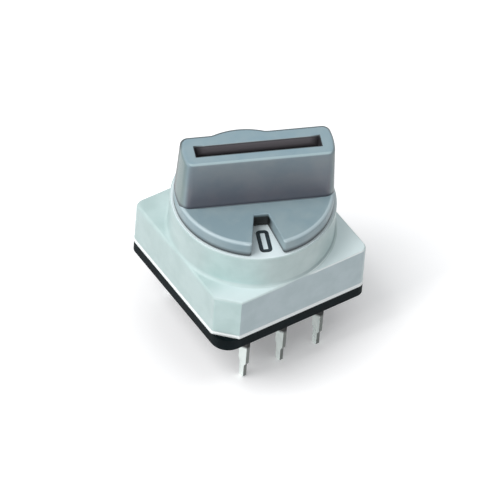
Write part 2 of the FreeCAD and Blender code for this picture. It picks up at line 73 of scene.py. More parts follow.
knob_low, knob_high = (np.array(corner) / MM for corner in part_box("knob"))

# Housing sizes.
BODY_HALF = (housing_high[0] - housing_low[0]) / 2
HOUSING_Z, RIM_Z = housing_low[2], housing_high[2]
LEDGE_HIGH, LEDGE_STEP, WALL_LEAN = 0.18, 0.04, 0.02
LEDGE_UPRIGHT, LEDGE_ROUND, LEDGE_ROUND_IN = 0.30, 0.55, 0.80
COLLAR_HIGH, COLLAR_RADIUS, COLLAR_FOOT = 2.27, 4.82, 0.25
TOP_Z = RIM_Z - COLLAR_HIGH
KEY_CUT, CORNER_ROUND = 1.17, 0.58
KEY_LEFT_ROUND, KEY_RIGHT_ROUND = 0.30, 0.07
MOULD_EDGE, MOULD_EDGE_MORE, RIM_EDGE = 0.12, 0.14, 0.09
SKIRT_WALL, ROOF_WALL, PLATE_WALL = 0.70, 0.88, 1.25
CEILING_Z, PLATE_Z = TOP_Z - ROOF_WALL, RIM_Z - PLATE_WALL
RING_RADIUS, SCALLOP_RADIUS, SCALLOP_DEPTH = 3.45, 0.55, 0.30
BORE_RADIUS, BORE_EDGE = 2.04, 0.05
POSITIONS = 16

# Distance from a rounded edge to the ring that keeps the flat beside it flat.
HOLD = 0.03

# Knob sizes.
FIN_TOP = knob_high[2]
FLANGE_Z, FLANGE_THICK, FLANGE_RADIUS, FLANGE_EDGE = RIM_Z + 0.05, 0.92, 4.63, 0.20
FLANGE_TOP = FLANGE_Z + FLANGE_THICK
SHAFT_RADIUS, SHAFT_FOOT = 2.00, 4.66
SPIGOT_RADIUS, HEAD_RADIUS, HEAD_THICK, HEAD_Z = 1.15, 1.42, 0.17, knob_low[2]
PIVOT_RADIUS, PIVOT_DEPTH = 0.70, 0.75
GROOVE_RADIUS, GROOVE_Z, GROOVE_HALF = 1.465, RIM_Z - 0.62, 0.32
FIN_HALF, FIN_DRAFT, FIN_CORNER, FIN_EDGE, FIN_FOOT = 1.35, 0.20, 0.68, 0.20, 0.05
SWELL_RADIUS, SWELL_PROUD, SWELL_SHIFT = 4.20, 0.32, 0.90
SLOT_HALF_LONG, SLOT_HALF_WIDE, SLOT_DEPTH, SLOT_LIP, SLOT_CORNER = 3.63, 0.38, 1.70, 0.08, 0.05
SLOT_FORWARD, SLOT_TAPER = 0.09, 0.04
FOOT_END, FOOT_FADE, FIN_SUNK, SUNK_INSET = 3.75, 0.50, 0.45, 0.30
NOTCH_START, NOTCH_INNER, NOTCH_OUTER, NOTCH_CORNER, NOTCH_EDGE = 2.20, 0.42, 0.98, 0.14, 0.05
RIM_EASE, RIM_EASE_LONG, NOTCH_EASE, NOTCH_EASE_LONG = 0.04, 0.035, 1.10, 0.35
UNDER_FIN = (3.0, 1.1)
STEP_ANGLE = 2 * math.pi / POSITIONS
KNOB_TURN = -STEP_ANGLE

# Points on the stretches of the flange's and the fin's outline.
RIM_COUNT, SIDE_COUNT, CORNER_COUNT, FLOOR_COUNT = 260, 26, 12, 12
LONG_COUNT, BEND_COUNT, BACK_COUNTS = 90, 16, (36, 40, 14)

# Marks printed on the collar's end face.
MARK_RADIUS, MARK_TALL, MARK_WIDE, MARK_STROKE = 3.43, 1.72, 0.74, 0.23
BOX_ROUND, LINE_ROUND = 0.16, 0.13
INK_HIGH, INK_SUNK, STROKE_LIFT = 0.012, 0.01, 0.001
FIRST_MARK = -math.pi / 2 - STEP_ANGLE

# The camera that the photo was taken with, fitted to the object's edges.
VIEW_YAW, VIEW_ELEVATION, VIEW_ROLL = math.radians(-36.2), math.radians(46.8), math.radians(-4.7)
VIEW_DISTANCE, VIEW_LENS, VIEW_SENSOR = 370.856, 459.63, 36.0
VIEW_TARGET = (0.053, 0.571, 0.95)

# Moulded surfaces, and the part of a noise's range over which one shade goes over into another.
SINK_SIZE, SINK_DEPTH, ROUGH_SPREAD = 2.4, 0.03, 0.07
SHADE_RANGE = (0.38, 0.62)


def unit(angle):
    """(cos a, sin a) of an angle, or of each angle of a row."""
    return np.stack([np.cos(angle), np.sin(angle)], axis=-1)


def straight(start, end, count):
    """Points start + (end - start) t for t in [0, 1), with the normal on the right of their way."""
    start, end = np.array(start, float), np.array(end, float)
    way = (end - start) / np.linalg.norm(end - start)
    t = np.linspace(0, 1, count, endpoint=False)[:, None]
    return start + (end - start) * t, np.tile([way[1], -way[0]], (count, 1))


def bend(centre, radius, first, last, count):
    """Points centre + radius (cos a, sin a) for a from first up to, not including, last. The normal points
    away from the centre when a grows and towards it when a falls."""
    a = np.linspace(first, last, count, endpoint=False)
    return np.array(centre) + radius * unit(a), unit(a) * np.sign(last - first)


def joined(*stretches):
    """One closed outline, as (points, normals), from stretches that each leave out their last point."""
    return tuple(np.concatenate(part) for part in zip(*stretches))


def rounded_polygon(corners, radii, bend_count, side_counts):
    """Outline of an anticlockwise polygon whose corners are arcs: each arc's tangent points lie
    radius tan(turn / 2) from the corner."""
    corners = np.array(corners, float)
    count = len(corners)
    ways = np.roll(corners, -1, axis=0) - corners
    ways /= np.linalg.norm(ways, axis=1)[:, None]
    headings = np.arctan2(ways[:, 1], ways[:, 0])
    turns = (headings - np.roll(headings, 1) + math.pi) % (2 * math.pi) - math.pi
    reach = np.array(radii) * np.tan(turns / 2)
    stretches = []
    for k in range(count):
        after = (k + 1) % count
        start, end = corners[k] + ways[k] * reach[k], corners[after] - ways[k] * reach[after]
        side = straight(start, end, side_counts[k])
        left = np.array([-ways[k][1], ways[k][0]])
        first = headings[k] - math.pi / 2
        arc = bend(end + left * radii[after], radii[after], first, first + turns[after], bend_count)
        stretches += [side, arc]
    return joined(*stretches)


def ring(points, height):
    """The outline's points at a height, which may be one number or one per point."""
    return np.column_stack([points, np.broadcast_to(height, len(points))])


def smooth_step(t):
    """t^2 (3 - 2 t), with t kept between 0 and 1."""
    t = np.clip(t, 0, 1)
    return t ** 2 * (3 - 2 * t)


def quarter(count):
    """Angles from 0 to a right angle, both included."""
    return np.linspace(0, math.pi / 2, count)


def shell(name, rings, closed_along=False, turn=0.0):
    """A closed skin over rings of equal count, laid from the outline's outside bottom upwards.

    The vertex (i, j) is ring i's point j, and each quad joins (i, j), (i, j + 1), (i + 1, j + 1) and
    (i + 1, j). Where the rings don't close on themselves, a fan to the mean of the first and last ring
    closes each end. The whole is turned about Z by turn."""
    grid = np.array(rings)
    rows, columns = grid.shape[:2]
    points = grid.reshape(-1, 3)
    i, j = np.meshgrid(np.arange(rows if closed_along else rows - 1), np.arange(columns), indexing="ij")
    i, j = i.ravel(), j.ravel()
    above, beside = (i + 1) % rows, (j + 1) % columns
    low, high = i * columns, above * columns
    faces = np.column_stack([low + j, low + beside, high + beside, high + j]).tolist()
    if not closed_along:
        points = np.vstack([points, grid[0].mean(axis=0), grid[-1].mean(axis=0)])
        column = np.arange(columns)
        following = (column + 1) % columns
        low_fan = np.column_stack([following, column, np.full(columns, len(points) - 2)])
        last = (rows - 1) * columns
        high_fan = np.column_stack([last + column, last + following, np.full(columns, len(points) - 1)])
        faces += low_fan.tolist() + high_fan.tolist()
    return mesh_piece(name, turned(points, turn), faces)


def turned(points, angle):
    """The points turned about Z by an angle."""
    c, s = math.cos(angle), math.sin(angle)
    return points @ np.array([[c, s, 0], [-s, c, 0], [0, 0, 1]])


def mesh_piece(name, points, faces):
    """A mesh object, in metres, smooth but for edges that bend by more than SHARP_ANGLE."""
    mesh = bpy.data.meshes.new(name)
    mesh.from_pydata((points * MM).tolist(), [], faces)
    mesh.shade_smooth()
    mesh.set_sharp_from_angle(angle=SHARP_ANGLE)
    mesh.validate()
    piece = bpy.data.objects.new(name, mesh)
    bpy.context.scene.collection.objects.link(piece)
    return piece


def keyed_square(half, cut, corner, left, right):
    """The housing's outline: a square whose corner at -X -Y is cut off."""
    corners = [(-half + cut, -half), (half, -half), (half, half), (-half, half), (-half, -half + cut)]
    rounds = [right, corner, corner, corner, left]
    return rounded_polygon(corners, rounds, bend_count=16, side_counts=[52, 56, 56, 52, 14])


def foot_height(radius):
    """Height of the collar's foot above the square part's top: a hollow quarter circle."""
    inside = np.clip(COLLAR_RADIUS + COLLAR_FOOT - radius, 0, COLLAR_FOOT)
    return COLLAR_FOOT - np.sqrt(COLLAR_FOOT ** 2 - inside ** 2)


def click_ring_radius(angle):
    """Polar radius of the click ring: its lands' circle, or a hollow's where that is further out."""
    place = RING_RADIUS + SCALLOP_DEPTH - SCALLOP_RADIUS
    apart = (angle + math.pi / 2) % STEP_ANGLE
    apart = np.minimum(apart, STEP_ANGLE - apart)
    inside = SCALLOP_RADIUS ** 2 - (place * np.sin(apart)) ** 2
    hollow = place * np.cos(apart) + np.sqrt(np.clip(inside, 0, None))
    return np.where(inside > 0, np.maximum(hollow, RING_RADIUS), RING_RADIUS)


def make_housing():
    """Outside: the ledge, upright and then a quarter ellipse, the leaning wall, its rounded top edge, more
    worn towards -X +Y, the top with the collar's foot, the collar and its rim. Inside: the bore, the click
    ring and the pocket, back to the lower edge."""
    def level(inset, height):
        """The outline moved in: the corner that is cut off it shrinks by (2 - sqrt 2) inset."""
        cut = KEY_CUT - (2 - math.sqrt(2)) * inset
        rounds = [max(size - inset, 0.02) for size in (CORNER_ROUND, KEY_LEFT_ROUND, KEY_RIGHT_ROUND)]
        return ring(keyed_square(BODY_HALF - inset, cut, *rounds)[0], height)

    rings = [level(0.0, HOUSING_Z), level(0.0, HOUSING_Z + LEDGE_UPRIGHT * LEDGE_HIGH)]
    for a in quarter(6)[1:]:
        height = HOUSING_Z + LEDGE_HIGH * (LEDGE_UPRIGHT + LEDGE_ROUND * math.sin(a))
        rings.append(level(LEDGE_ROUND_IN * LEDGE_STEP * (1 - math.cos(a)), height))
    wall_z = HOUSING_Z + LEDGE_HIGH
    rings.append(level(LEDGE_STEP, wall_z))
    rings.append(level(LEDGE_STEP + 0.002, wall_z + 0.05))

    edge = level(LEDGE_STEP + WALL_LEAN, 0)[:, :2]
    reach = np.linalg.norm(edge, axis=1)
    way = edge / reach[:, None]
    room = reach - COLLAR_RADIUS
    worn = np.clip((edge[:, 1] - edge[:, 0]) / (2 * BODY_HALF), 0, 1)
    soft = np.minimum(MOULD_EDGE + MOULD_EDGE_MORE * worn, 0.5 * room)
    for part in (0.35, 0.7):
        low = level(LEDGE_STEP + WALL_LEAN * part, 0)
        low[:, 2] = wall_z + part * (TOP_Z + foot_height(reach) - soft - wall_z)
        rings.append(low)
    for a in quarter(8):
        radius = reach - soft * (1 - math.cos(a))
        rings.append(ring(way * radius[:, None], TOP_Z + foot_height(radius) - soft * (1 - math.sin(a))))
    start = reach - soft
    foot_edge = np.minimum(start, COLLAR_RADIUS + COLLAR_FOOT)
    for part in (0.06, 0.94, 1.0):
        radius = start + (foot_edge - start) * part
        rings.append(ring(way * radius[:, None], TOP_Z + foot_height(radius)))
    for a in quarter(12)[1:]:
        radius = COLLAR_RADIUS + (foot_edge - COLLAR_RADIUS) * (1 - math.sin(a))
        rings.append(ring(way * radius[:, None], TOP_Z + foot_height(radius)))

    def circle(radius, height):
        return ring(way * radius, height)

    rings.append(circle(COLLAR_RADIUS, TOP_Z + COLLAR_FOOT + HOLD))
    rings.append(circle(COLLAR_RADIUS, RIM_Z - RIM_EDGE - HOLD))
    rings += [circle(COLLAR_RADIUS - RIM_EDGE * (1 - math.cos(a)), RIM_Z - RIM_EDGE * (1 - math.sin(a)))
              for a in quarter(8)]
    rings += [circle(COLLAR_RADIUS - RIM_EDGE - HOLD, RIM_Z), circle(BORE_RADIUS + BORE_EDGE, RIM_Z)]
    rings += [circle(BORE_RADIUS, RIM_Z - BORE_EDGE), circle(BORE_RADIUS, PLATE_Z)]
    click = click_ring_radius(np.arctan2(way[:, 1], way[:, 0]))[:, None]
    rings += [circle(click, PLATE_Z), circle(click, CEILING_Z)]
    rings += [level(SKIRT_WALL, CEILING_Z), level(SKIRT_WALL, HOUSING_Z)]
    return shell("housing_shell", rings, closed_along=True)


def disc_outline():
    """The flange seen from above: a circle with the wedge of the notch cut out at -Y. Each outer corner of
    the notch is an arc that touches the rim and the notch's side: its centre lies on the side's line moved
    in by the arc's radius, at the flange's radius less the arc's from the axis."""
    inner, outer = np.array([NOTCH_INNER, -NOTCH_START]), np.array([NOTCH_OUTER, -FLANGE_RADIUS])
    way = (outer - inner) / np.linalg.norm(outer - inner)
    material = np.array([-way[1], way[0]])
    base = inner + NOTCH_CORNER * material
    along = -base @ way + math.sqrt((base @ way) ** 2 - base @ base + (FLANGE_RADIUS - NOTCH_CORNER) ** 2)
    centre = base + along * way
    touch = inner + along * way
    rim = math.atan2(centre[1], centre[0])
    side = math.atan2(-material[1], -material[0])
    mirror = np.array([-1, 1])
    return joined(
        bend((0, 0), FLANGE_RADIUS, rim, math.pi - rim, RIM_COUNT),
        bend(centre * mirror, NOTCH_CORNER, math.pi - rim, math.pi - side, CORNER_COUNT),
        straight(touch * mirror, inner * mirror, SIDE_COUNT),
        straight(inner * mirror, inner, FLOOR_COUNT),
        straight(inner, touch, SIDE_COUNT),
        bend(centre, NOTCH_CORNER, side, rim, CORNER_COUNT),
    )


def disc_spread():
    """For each point of the flange's outline, its direction on the round rings inside: those of the notch's
    sides spread over a fan of 70 degrees, so that the quads from the outline to the rings don't overlap."""
    down, gap, mouth = 1.5 * math.pi, math.radians(35), math.radians(8)
    side = SIDE_COUNT + CORNER_COUNT
    stretches = [(gap - math.pi / 2, down - gap, RIM_COUNT), (down - gap, down - mouth, side),
                 (down - mouth, down + mouth, FLOOR_COUNT), (down + mouth, down + gap, side)]
    return unit(np.concatenate([np.linspace(*stretch, endpoint=False) for stretch in stretches]))


def make_knob_disc():
    """The shaft with its groove and spigot as circles, and the notched flange over it. Its rounded upper
    edge is FLANGE_EDGE wide round the rim and NOTCH_EDGE along the notch, and eases between the two."""
    outline, normal = disc_outline()
    way = disc_spread()
    far = np.linalg.norm(outline, axis=1)
    on_rim = np.clip((far - FLANGE_RADIUS + RIM_EASE) / RIM_EASE_LONG, 0, 1)
    past_notch = smooth_step((np.abs(outline[:, 0]) / NOTCH_OUTER - NOTCH_EASE) / NOTCH_EASE_LONG)
    part = on_rim * np.where(outline[:, 1] < 0, past_notch, 1)
    edge = NOTCH_EDGE + (FLANGE_EDGE - NOTCH_EDGE) * part

    profile = [
        (PIVOT_RADIUS, HEAD_Z + PIVOT_DEPTH), (PIVOT_RADIUS, HEAD_Z),
        (HEAD_RADIUS, HEAD_Z), (HEAD_RADIUS, HEAD_Z + HEAD_THICK),
        (SPIGOT_RADIUS, HEAD_Z + HEAD_THICK), (SPIGOT_RADIUS, SHAFT_FOOT),
        (SHAFT_RADIUS, SHAFT_FOOT), (SHAFT_RADIUS, GROOVE_Z - GROOVE_HALF),
        (GROOVE_RADIUS, GROOVE_Z - GROOVE_HALF), (GROOVE_RADIUS, GROOVE_Z + GROOVE_HALF),
        (SHAFT_RADIUS, GROOVE_Z + GROOVE_HALF), (SHAFT_RADIUS, FLANGE_Z),
    ]
    rings = [ring(way * radius, height) for radius, height in profile]
    rings += [ring(outline - HOLD * normal, FLANGE_Z), ring(outline, FLANGE_Z + HOLD)]
    rings.append(ring(outline, FLANGE_TOP - edge - 0.02))
    for a in quarter(9):
        inset = (edge * (1 - math.cos(a)))[:, None]
        rings.append(ring(outline - inset * normal, FLANGE_TOP - edge * (1 - math.sin(a))))
    rings.append(ring(outline - (edge + HOLD)[:, None] * normal, FLANGE_TOP))
    rings.append(ring(way * UNDER_FIN, FLANGE_TOP))
    return shell("knob_disc", rings, turn=KNOB_TURN)


def fin_outline():
    """The fin at its foot: two long sides, ends on the flange's circle, round corners that touch both, and
    on the back the swell, an arc that stands SWELL_PROUD out of the side."""
    round_x = math.sqrt((FLANGE_RADIUS - FIN_CORNER) ** 2 - (FIN_HALF - FIN_CORNER) ** 2)
    round_y = FIN_HALF - FIN_CORNER
    end = math.atan2(round_y, round_x)
    up = math.pi / 2
    chord = math.sqrt(SWELL_RADIUS ** 2 - (SWELL_RADIUS - SWELL_PROUD) ** 2)
    half = math.asin(chord / SWELL_RADIUS)
    swell_centre = (-SWELL_SHIFT, FIN_HALF + SWELL_PROUD - SWELL_RADIUS)
    return joined(
        straight((-round_x, -FIN_HALF), (round_x, -FIN_HALF), LONG_COUNT),
        bend((round_x, -round_y), FIN_CORNER, -up, -end, BEND_COUNT),
        bend((0, 0), FLANGE_RADIUS, -end, end, BEND_COUNT),
        bend((round_x, round_y), FIN_CORNER, end, up, BEND_COUNT),
        straight((round_x, FIN_HALF), (chord - SWELL_SHIFT, FIN_HALF), BACK_COUNTS[0]),
        bend(swell_centre, SWELL_RADIUS, up - half, up + half, BACK_COUNTS[1]),
        straight((-chord - SWELL_SHIFT, FIN_HALF), (-round_x, FIN_HALF), BACK_COUNTS[2]),
        bend((-round_x, round_y), FIN_CORNER, up, math.pi - end, BEND_COUNT),
        bend((0, 0), FLANGE_RADIUS, math.pi - end, math.pi + end, BEND_COUNT),
        bend((-round_x, -round_y), FIN_CORNER, math.pi + end, 3 * up, BEND_COUNT),
    )


def slot_outline():
    """The slot's mouth, with as many points on each side and corner as the fin's outline has beside it,
    where BACK_COUNTS add up to LONG_COUNT."""
    x, y, r = SLOT_HALF_LONG - SLOT_CORNER, SLOT_HALF_WIDE - SLOT_CORNER, SLOT_CORNER
    up = math.pi / 2
    return joined(
        straight((-x, -y - r), (x, -y - r), LONG_COUNT),
        bend((x, -y), r, -up, 0, BEND_COUNT),
        straight((x + r, -y), (x + r, y), BEND_COUNT),
        bend((x, y), r, 0, up, BEND_COUNT),
        straight((x, y + r), (-x, y + r), LONG_COUNT),
        bend((-x, y), r, up, 2 * up, BEND_COUNT),
        straight((-x - r, y), (-x - r, -y), BEND_COUNT),
        bend((-x, -y), r, 2 * up, 3 * up, BEND_COUNT),
    )


def make_knob_fin():
    """Rings up the fin: the outline moved in along its normals by the draft, with a hollow foot that fades
    out towards the ends, the rounded top edge, the flat top as a straight blend to the slot's mouth, its
    rounded lip, and the slot down to its floor."""
    outline, normal = fin_outline()
    slot, slot_normal = slot_outline()
    slot = slot - [0, SLOT_FORWARD]
    fin_high = FIN_TOP - FLANGE_Z
    foot = FIN_FOOT * smooth_step((FOOT_END - np.abs(outline[:, 0])) / FOOT_FADE)

    def lean(height):
        """Inset of the fin's sides at a height."""
        return FIN_DRAFT * (height - FLANGE_Z) / fin_high

    def moved(inset, height):
        inset = np.broadcast_to(inset, len(outline))
        return ring(outline - inset[:, None] * normal, height)

    sunk = FLANGE_TOP - FIN_SUNK
    rings = [moved(lean(sunk) + SUNK_INSET, sunk), moved(lean(sunk) - foot, FLANGE_TOP - 0.1)]
    for a in quarter(6):
        height = FLANGE_TOP + foot * (1 - math.cos(a))
        rings.append(moved(lean(height) - foot * (1 - math.sin(a)), height))
    shoulder = FIN_TOP - FIN_EDGE
    rings += [moved(lean(height), height) for height in (FLANGE_TOP + FIN_FOOT + HOLD, shoulder - HOLD)]
    for a in quarter(9):
        inset = lean(shoulder) + FIN_EDGE * (1 - math.cos(a))
        rings.append(moved(inset, shoulder + FIN_EDGE * math.sin(a)))
    last = rings[-1]
    mouth = ring(slot + SLOT_LIP * slot_normal, FIN_TOP)
    rings += [last + (mouth - last) * part for part in (0.08, 0.92)]
    for a in quarter(5):
        outset = SLOT_LIP * (1 - math.sin(a))
        rings.append(ring(slot + outset * slot_normal, FIN_TOP - SLOT_LIP * (1 - math.cos(a))))
    rings.append(ring(slot, FIN_TOP - SLOT_LIP - 0.02))
    rings.append(ring(slot - SLOT_TAPER * slot_normal, FIN_TOP - SLOT_DEPTH))
    return shell("knob_fin", rings, turn=KNOB_TURN)


def rounded_line(points, radius, count=6):
    """A line through points whose inner corners c are rounded by the curve c + u r (1 - t)^2 + v r t^2, with
    u and v the ways to the points before and after it, and r how far an arc of that radius would reach, or
    less where a stretch is short."""
    points = np.array(points, float)
    made = [points[:1]]
    for before, here, after in zip(points[:-2], points[1:-1], points[2:]):
        back, on = before - here, after - here
        back_long, on_long = np.linalg.norm(back), np.linalg.norm(on)
        back, on = back / back_long, on / on_long
        opening = math.acos(float(np.clip(back @ on, -1, 1)))
        reach = min(radius / math.tan(opening / 2), 0.49 * back_long, 0.49 * on_long)
        t = np.linspace(0, 1, count)[:, None]
        made.append(here + back * reach * (1 - t) ** 2 + on * reach * t ** 2)
    made.append(points[-1:])
    return np.concatenate(made)


def ink_line(path, closed, lift):
    """A flat stroke along the path, raised by INK_HIGH and the lift: the path moved half the stroke's width
    to each side, joined at the corners by the mean normal over the cosine of half the turn."""
    step = np.diff(path, axis=0, append=path[:1] if closed else 2 * path[-1:] - path[-2:-1])
    step /= np.linalg.norm(step, axis=1)[:, None]
    before = np.roll(step, 1, axis=0)
    if not closed:
        before[0] = step[0]
        step[-1] = before[-1]
    mean = step + before
    mean /= np.linalg.norm(mean, axis=1)[:, None]
    across = np.column_stack([-mean[:, 1], mean[:, 0]]) / np.sum(mean * step, axis=1)[:, None]
    left, right = path + across * MARK_STROKE / 2, path - across * MARK_STROKE / 2
    low, high = RIM_Z - INK_SUNK, RIM_Z + INK_HIGH + lift
    points = np.concatenate([ring(right, low), ring(left, low), ring(left, high), ring(right, high)])
    count = len(path)
    j = np.arange(count if closed else count - 1)
    after = (j + 1) % count
    sides = []
    for side in range(4):
        here, beside = side * count, (side + 1) % 4 * count
        sides.append(np.column_stack([here + j, here + after, beside + after, beside + j]))
    faces = np.concatenate(sides)[:, ::-1].tolist()
    if not closed:
        faces.append([0, count, 2 * count, 3 * count])
        faces.append([4 * count - 1, 3 * count - 1, 2 * count - 1, count - 1])
    return points, faces


def mark_strokes(sign):
    """The strokes of a mark in a cell that reaches from -1 to 1 each way, as (points, closed)."""
    box = [(-1, -1), (1, -1), (1, 1), (-1, 1)]
    strokes = {
        "0": [(box, True)],
        "1": [([(-0.7, 0.6), (0, 1), (0, -1)], False)],
        "2": [([(-1, 1), (1, 1), (1, 0), (-1, 0), (-1, -1), (1, -1)], False)],
        "3": [([(-1, 1), (1, 1), (1, -1), (-1, -1)], False), ([(-0.6, 0), (1, 0)], False)],
        "4": [([(-1, 1), (-1, -0.1), (1, -0.1)], False), ([(0.6, 1), (0.6, -1)], False)],
        "5": [([(1, 1), (-1, 1), (-1, 0), (1, 0), (1, -1), (-1, -1)], False)],
        "6": [([(1, 1), (-1, 1), (-1, -1), (1, -1), (1, 0), (-1, 0)], False)],
        "7": [([(-1, 1), (1, 1), (-0.2, -1)], False)],
        "8": [(box, True), ([(-1, 0), (1, 0)], False)],
        "9": [([(1, 0), (-1, 0), (-1, 1), (1, 1), (1, -1), (-1, -1)], False)],
        "A": [([(-1, -1), (-1, 1), (1, 1), (1, -1)], False), ([(-1, 0), (1, 0)], False)],
        "B": [(box, True), ([(-1, 0.05), (1, 0.05)], False)],
        "C": [([(1, 1), (-1, 1), (-1, -1), (1, -1)], False)],
        "D": [([(-1, -1), (1, -0.8), (1, 0.8), (-1, 1)], True)],
        "E": [([(1, 1), (-1, 1), (-1, -1), (1, -1)], False), ([(-1, 0), (0.7, 0)], False)],
        "F": [([(1, 1), (-1, 1), (-1, -1)], False), ([(-1, 0), (0.7, 0)], False)],
    }
    return strokes[sign]


def make_mark(place, sign):
    """One printed mark at its click position: its top points at the axis."""
    cell = np.array([MARK_WIDE - MARK_STROKE, MARK_TALL - MARK_STROKE]) / 2
    all_points, all_faces, used = [], [], 0
    for number, (corners, closed) in enumerate(mark_strokes(sign)):
        corners = np.array(corners, float) * cell
        if closed:
            middle = (corners[0] + corners[-1]) / 2
            path = rounded_line(np.vstack([middle, corners, middle]), BOX_ROUND)[:-1]
        else:
            path = rounded_line(corners, LINE_ROUND)
        points, faces = ink_line(path, closed, number * STROKE_LIFT)
        all_points.append(points)
        all_faces += [[index + used for index in face] for face in faces]
        used += len(points)
    points = np.vstack(all_points) + [0, -MARK_RADIUS, 0]
    points = turned(points, FIRST_MARK - place * STEP_ANGLE + math.pi / 2)
    return mesh_piece(f"mark_{sign}", points, all_faces)


class Shader:
    """A node tree, with the kinds of node that the finishes here are put together from."""

    def __init__(self, tree):
        self.nodes, self.links = tree.nodes, tree.links

    def feed(self, node, inputs):
        """Links each named input to its value where that is a socket, and sets it where it isn't."""
        for name, value in inputs.items():
            if isinstance(value, bpy.types.NodeSocket):
                self.links.new(value, node.inputs[name])
            else:
                node.inputs[name].default_value = value
        return node

    def node(self, kind, inputs):
        return self.feed(self.nodes.new(kind), inputs)

    def place(self, stretch=(1, 1, 1), turn=0.0):
        """Object coordinates, stretched for a directed grain and turned about Z."""
        coordinates = self.nodes.new("ShaderNodeTexCoord").outputs["Object"]
        inputs = {"Vector": coordinates, "Scale": stretch, "Rotation": (0, 0, turn)}
        return self.node("ShaderNodeMapping", inputs).outputs["Vector"]

    def part_of(self, where, axis):
        """One coordinate of a vector."""
        return self.node("ShaderNodeSeparateXYZ", {"Vector": where}).outputs[axis]

    def distance_from_axis(self):
        length = self.nodes.new("ShaderNodeVectorMath")
        length.operation = "LENGTH"
        return self.feed(length, {0: self.place((1, 1, 0))}).outputs["Value"]

    def noise(self, where, size, detail):
        """Noise whose blotches are about size millimetres across."""
        inputs = {"Vector": where, "Scale": 1 / (size * MM), "Detail": detail}
        return self.node("ShaderNodeTexNoise", inputs).outputs["Fac"]

    def maths(self, kind, first, second=0):
        """The first number combined with the second, each a socket or a plain number."""
        node = self.nodes.new("ShaderNodeMath")
        node.operation = kind
        return self.feed(node, {0: first, 1: second}).outputs["Value"]

    def all_of(self, *masks):
        """The product of some masks."""
        product = masks[0]
        for mask in masks[1:]:
            product = self.maths("MULTIPLY", product, mask)
        return product

    def between(self, number, low, high, first=0, last=1):
        """Maps a number from low..high to first..last, and keeps it there beyond them."""
        inputs = {"Value": number, "From Min": low, "From Max": high, "To Min": first, "To Max": last}
        return self.node("ShaderNodeMapRange", inputs).outputs["Result"]

    def span(self, length, low, high, first=0, last=1):
        """Maps a length from low..high millimetres to first..last."""
        return self.between(length, low * MM, high * MM, first, last)

    def facing(self, way, low, high, first=0, last=1):
        """Maps how far the surface faces a way from low..high to first..last."""
        return self.between(self.dot_product(way), low, high, first, last)

    def dot_product(self, way):
        """The surface's normal in object space times a way."""
        product = self.nodes.new("ShaderNodeVectorMath")
        product.operation = "DOT_PRODUCT"
        normal = self.nodes.new("ShaderNodeTexCoord").outputs["Normal"]
        return self.feed(product, {0: normal, 1: tuple(way)}).outputs["Value"]

    def sharp_ray(self, ray):
        """1 for a ray of the camera or of a reflection, 0 for other rays."""
        return self.maths("MAXIMUM", ray.outputs["Is Camera Ray"], ray.outputs["Is Glossy Ray"])

    def two_shades(self, factor, *shades):
        """The first shade where the factor is low, the second where it is high, and a blend between."""
        ramp = self.node("ShaderNodeValToRGB", {"Fac": factor})
        for element, position, shade in zip(ramp.color_ramp.elements, SHADE_RANGE, shades):
            element.position = position
            element.color = (*shade, 1)
        return ramp.outputs["Color"]

    def covered(self, colour, mask, shade, kind="MIX"):
        """The colour mixed with the shade as far as the mask says."""
        mix = self.nodes.new("ShaderNodeMix")
        mix.data_type, mix.blend_type = "RGBA", kind
        return self.feed(mix, {"Factor": mask, "A": colour, "B": (*shade, 1)}).outputs["Result"]

    def filtered(self, colour, mask, shade):
        """The colour multiplied by the shade as far as the mask says."""
        return self.covered(colour, mask, shade, "MULTIPLY")

    def bumps(self, height, depth, strength, under=None):
        """A bump of depth millimetres from the height, over another bump if there is one."""
        inputs = {"Height": height, "Distance": depth * MM, "Strength": strength}
        if under:
            inputs["Normal"] = under
        return self.node("ShaderNodeBump", inputs).outputs["Normal"]


def new_material(name):
    """A material with its shader and its surface node."""
    material = bpy.data.materials.new(name)
    material.use_nodes = True
    paint = Shader(material.node_tree)
    return material, paint, paint.nodes["Principled BSDF"]


def moulded_plastic(name, shades, cloud, grain, rough, grain_depth=0.006, specular=0.5, tint=None):
    """Moulded plastic: cloudy shade, spark-eroded grain, gloss that varies with it, and shallow sinks."""
    material, paint, surface = new_material(name)
    where = paint.place()
    clouds = paint.noise(where, cloud, 4.0)
    grains = paint.noise(where, grain, 2.0)
    sinks = paint.noise(where, SINK_SIZE, 1.0)
    colour = paint.two_shades(clouds, *shades)
    if tint:
        colour = tint(paint, colour)
    paint.feed(surface, {
        "Base Color": colour,
        "Roughness": paint.between(grains, 0.3, 0.7, rough - ROUGH_SPREAD, rough + ROUGH_SPREAD),
        "Normal": paint.bumps(grains, grain_depth, 0.5, paint.bumps(sinks, SINK_DEPTH, 0.25)),
        "Specular IOR Level": specular,
    })
    return material


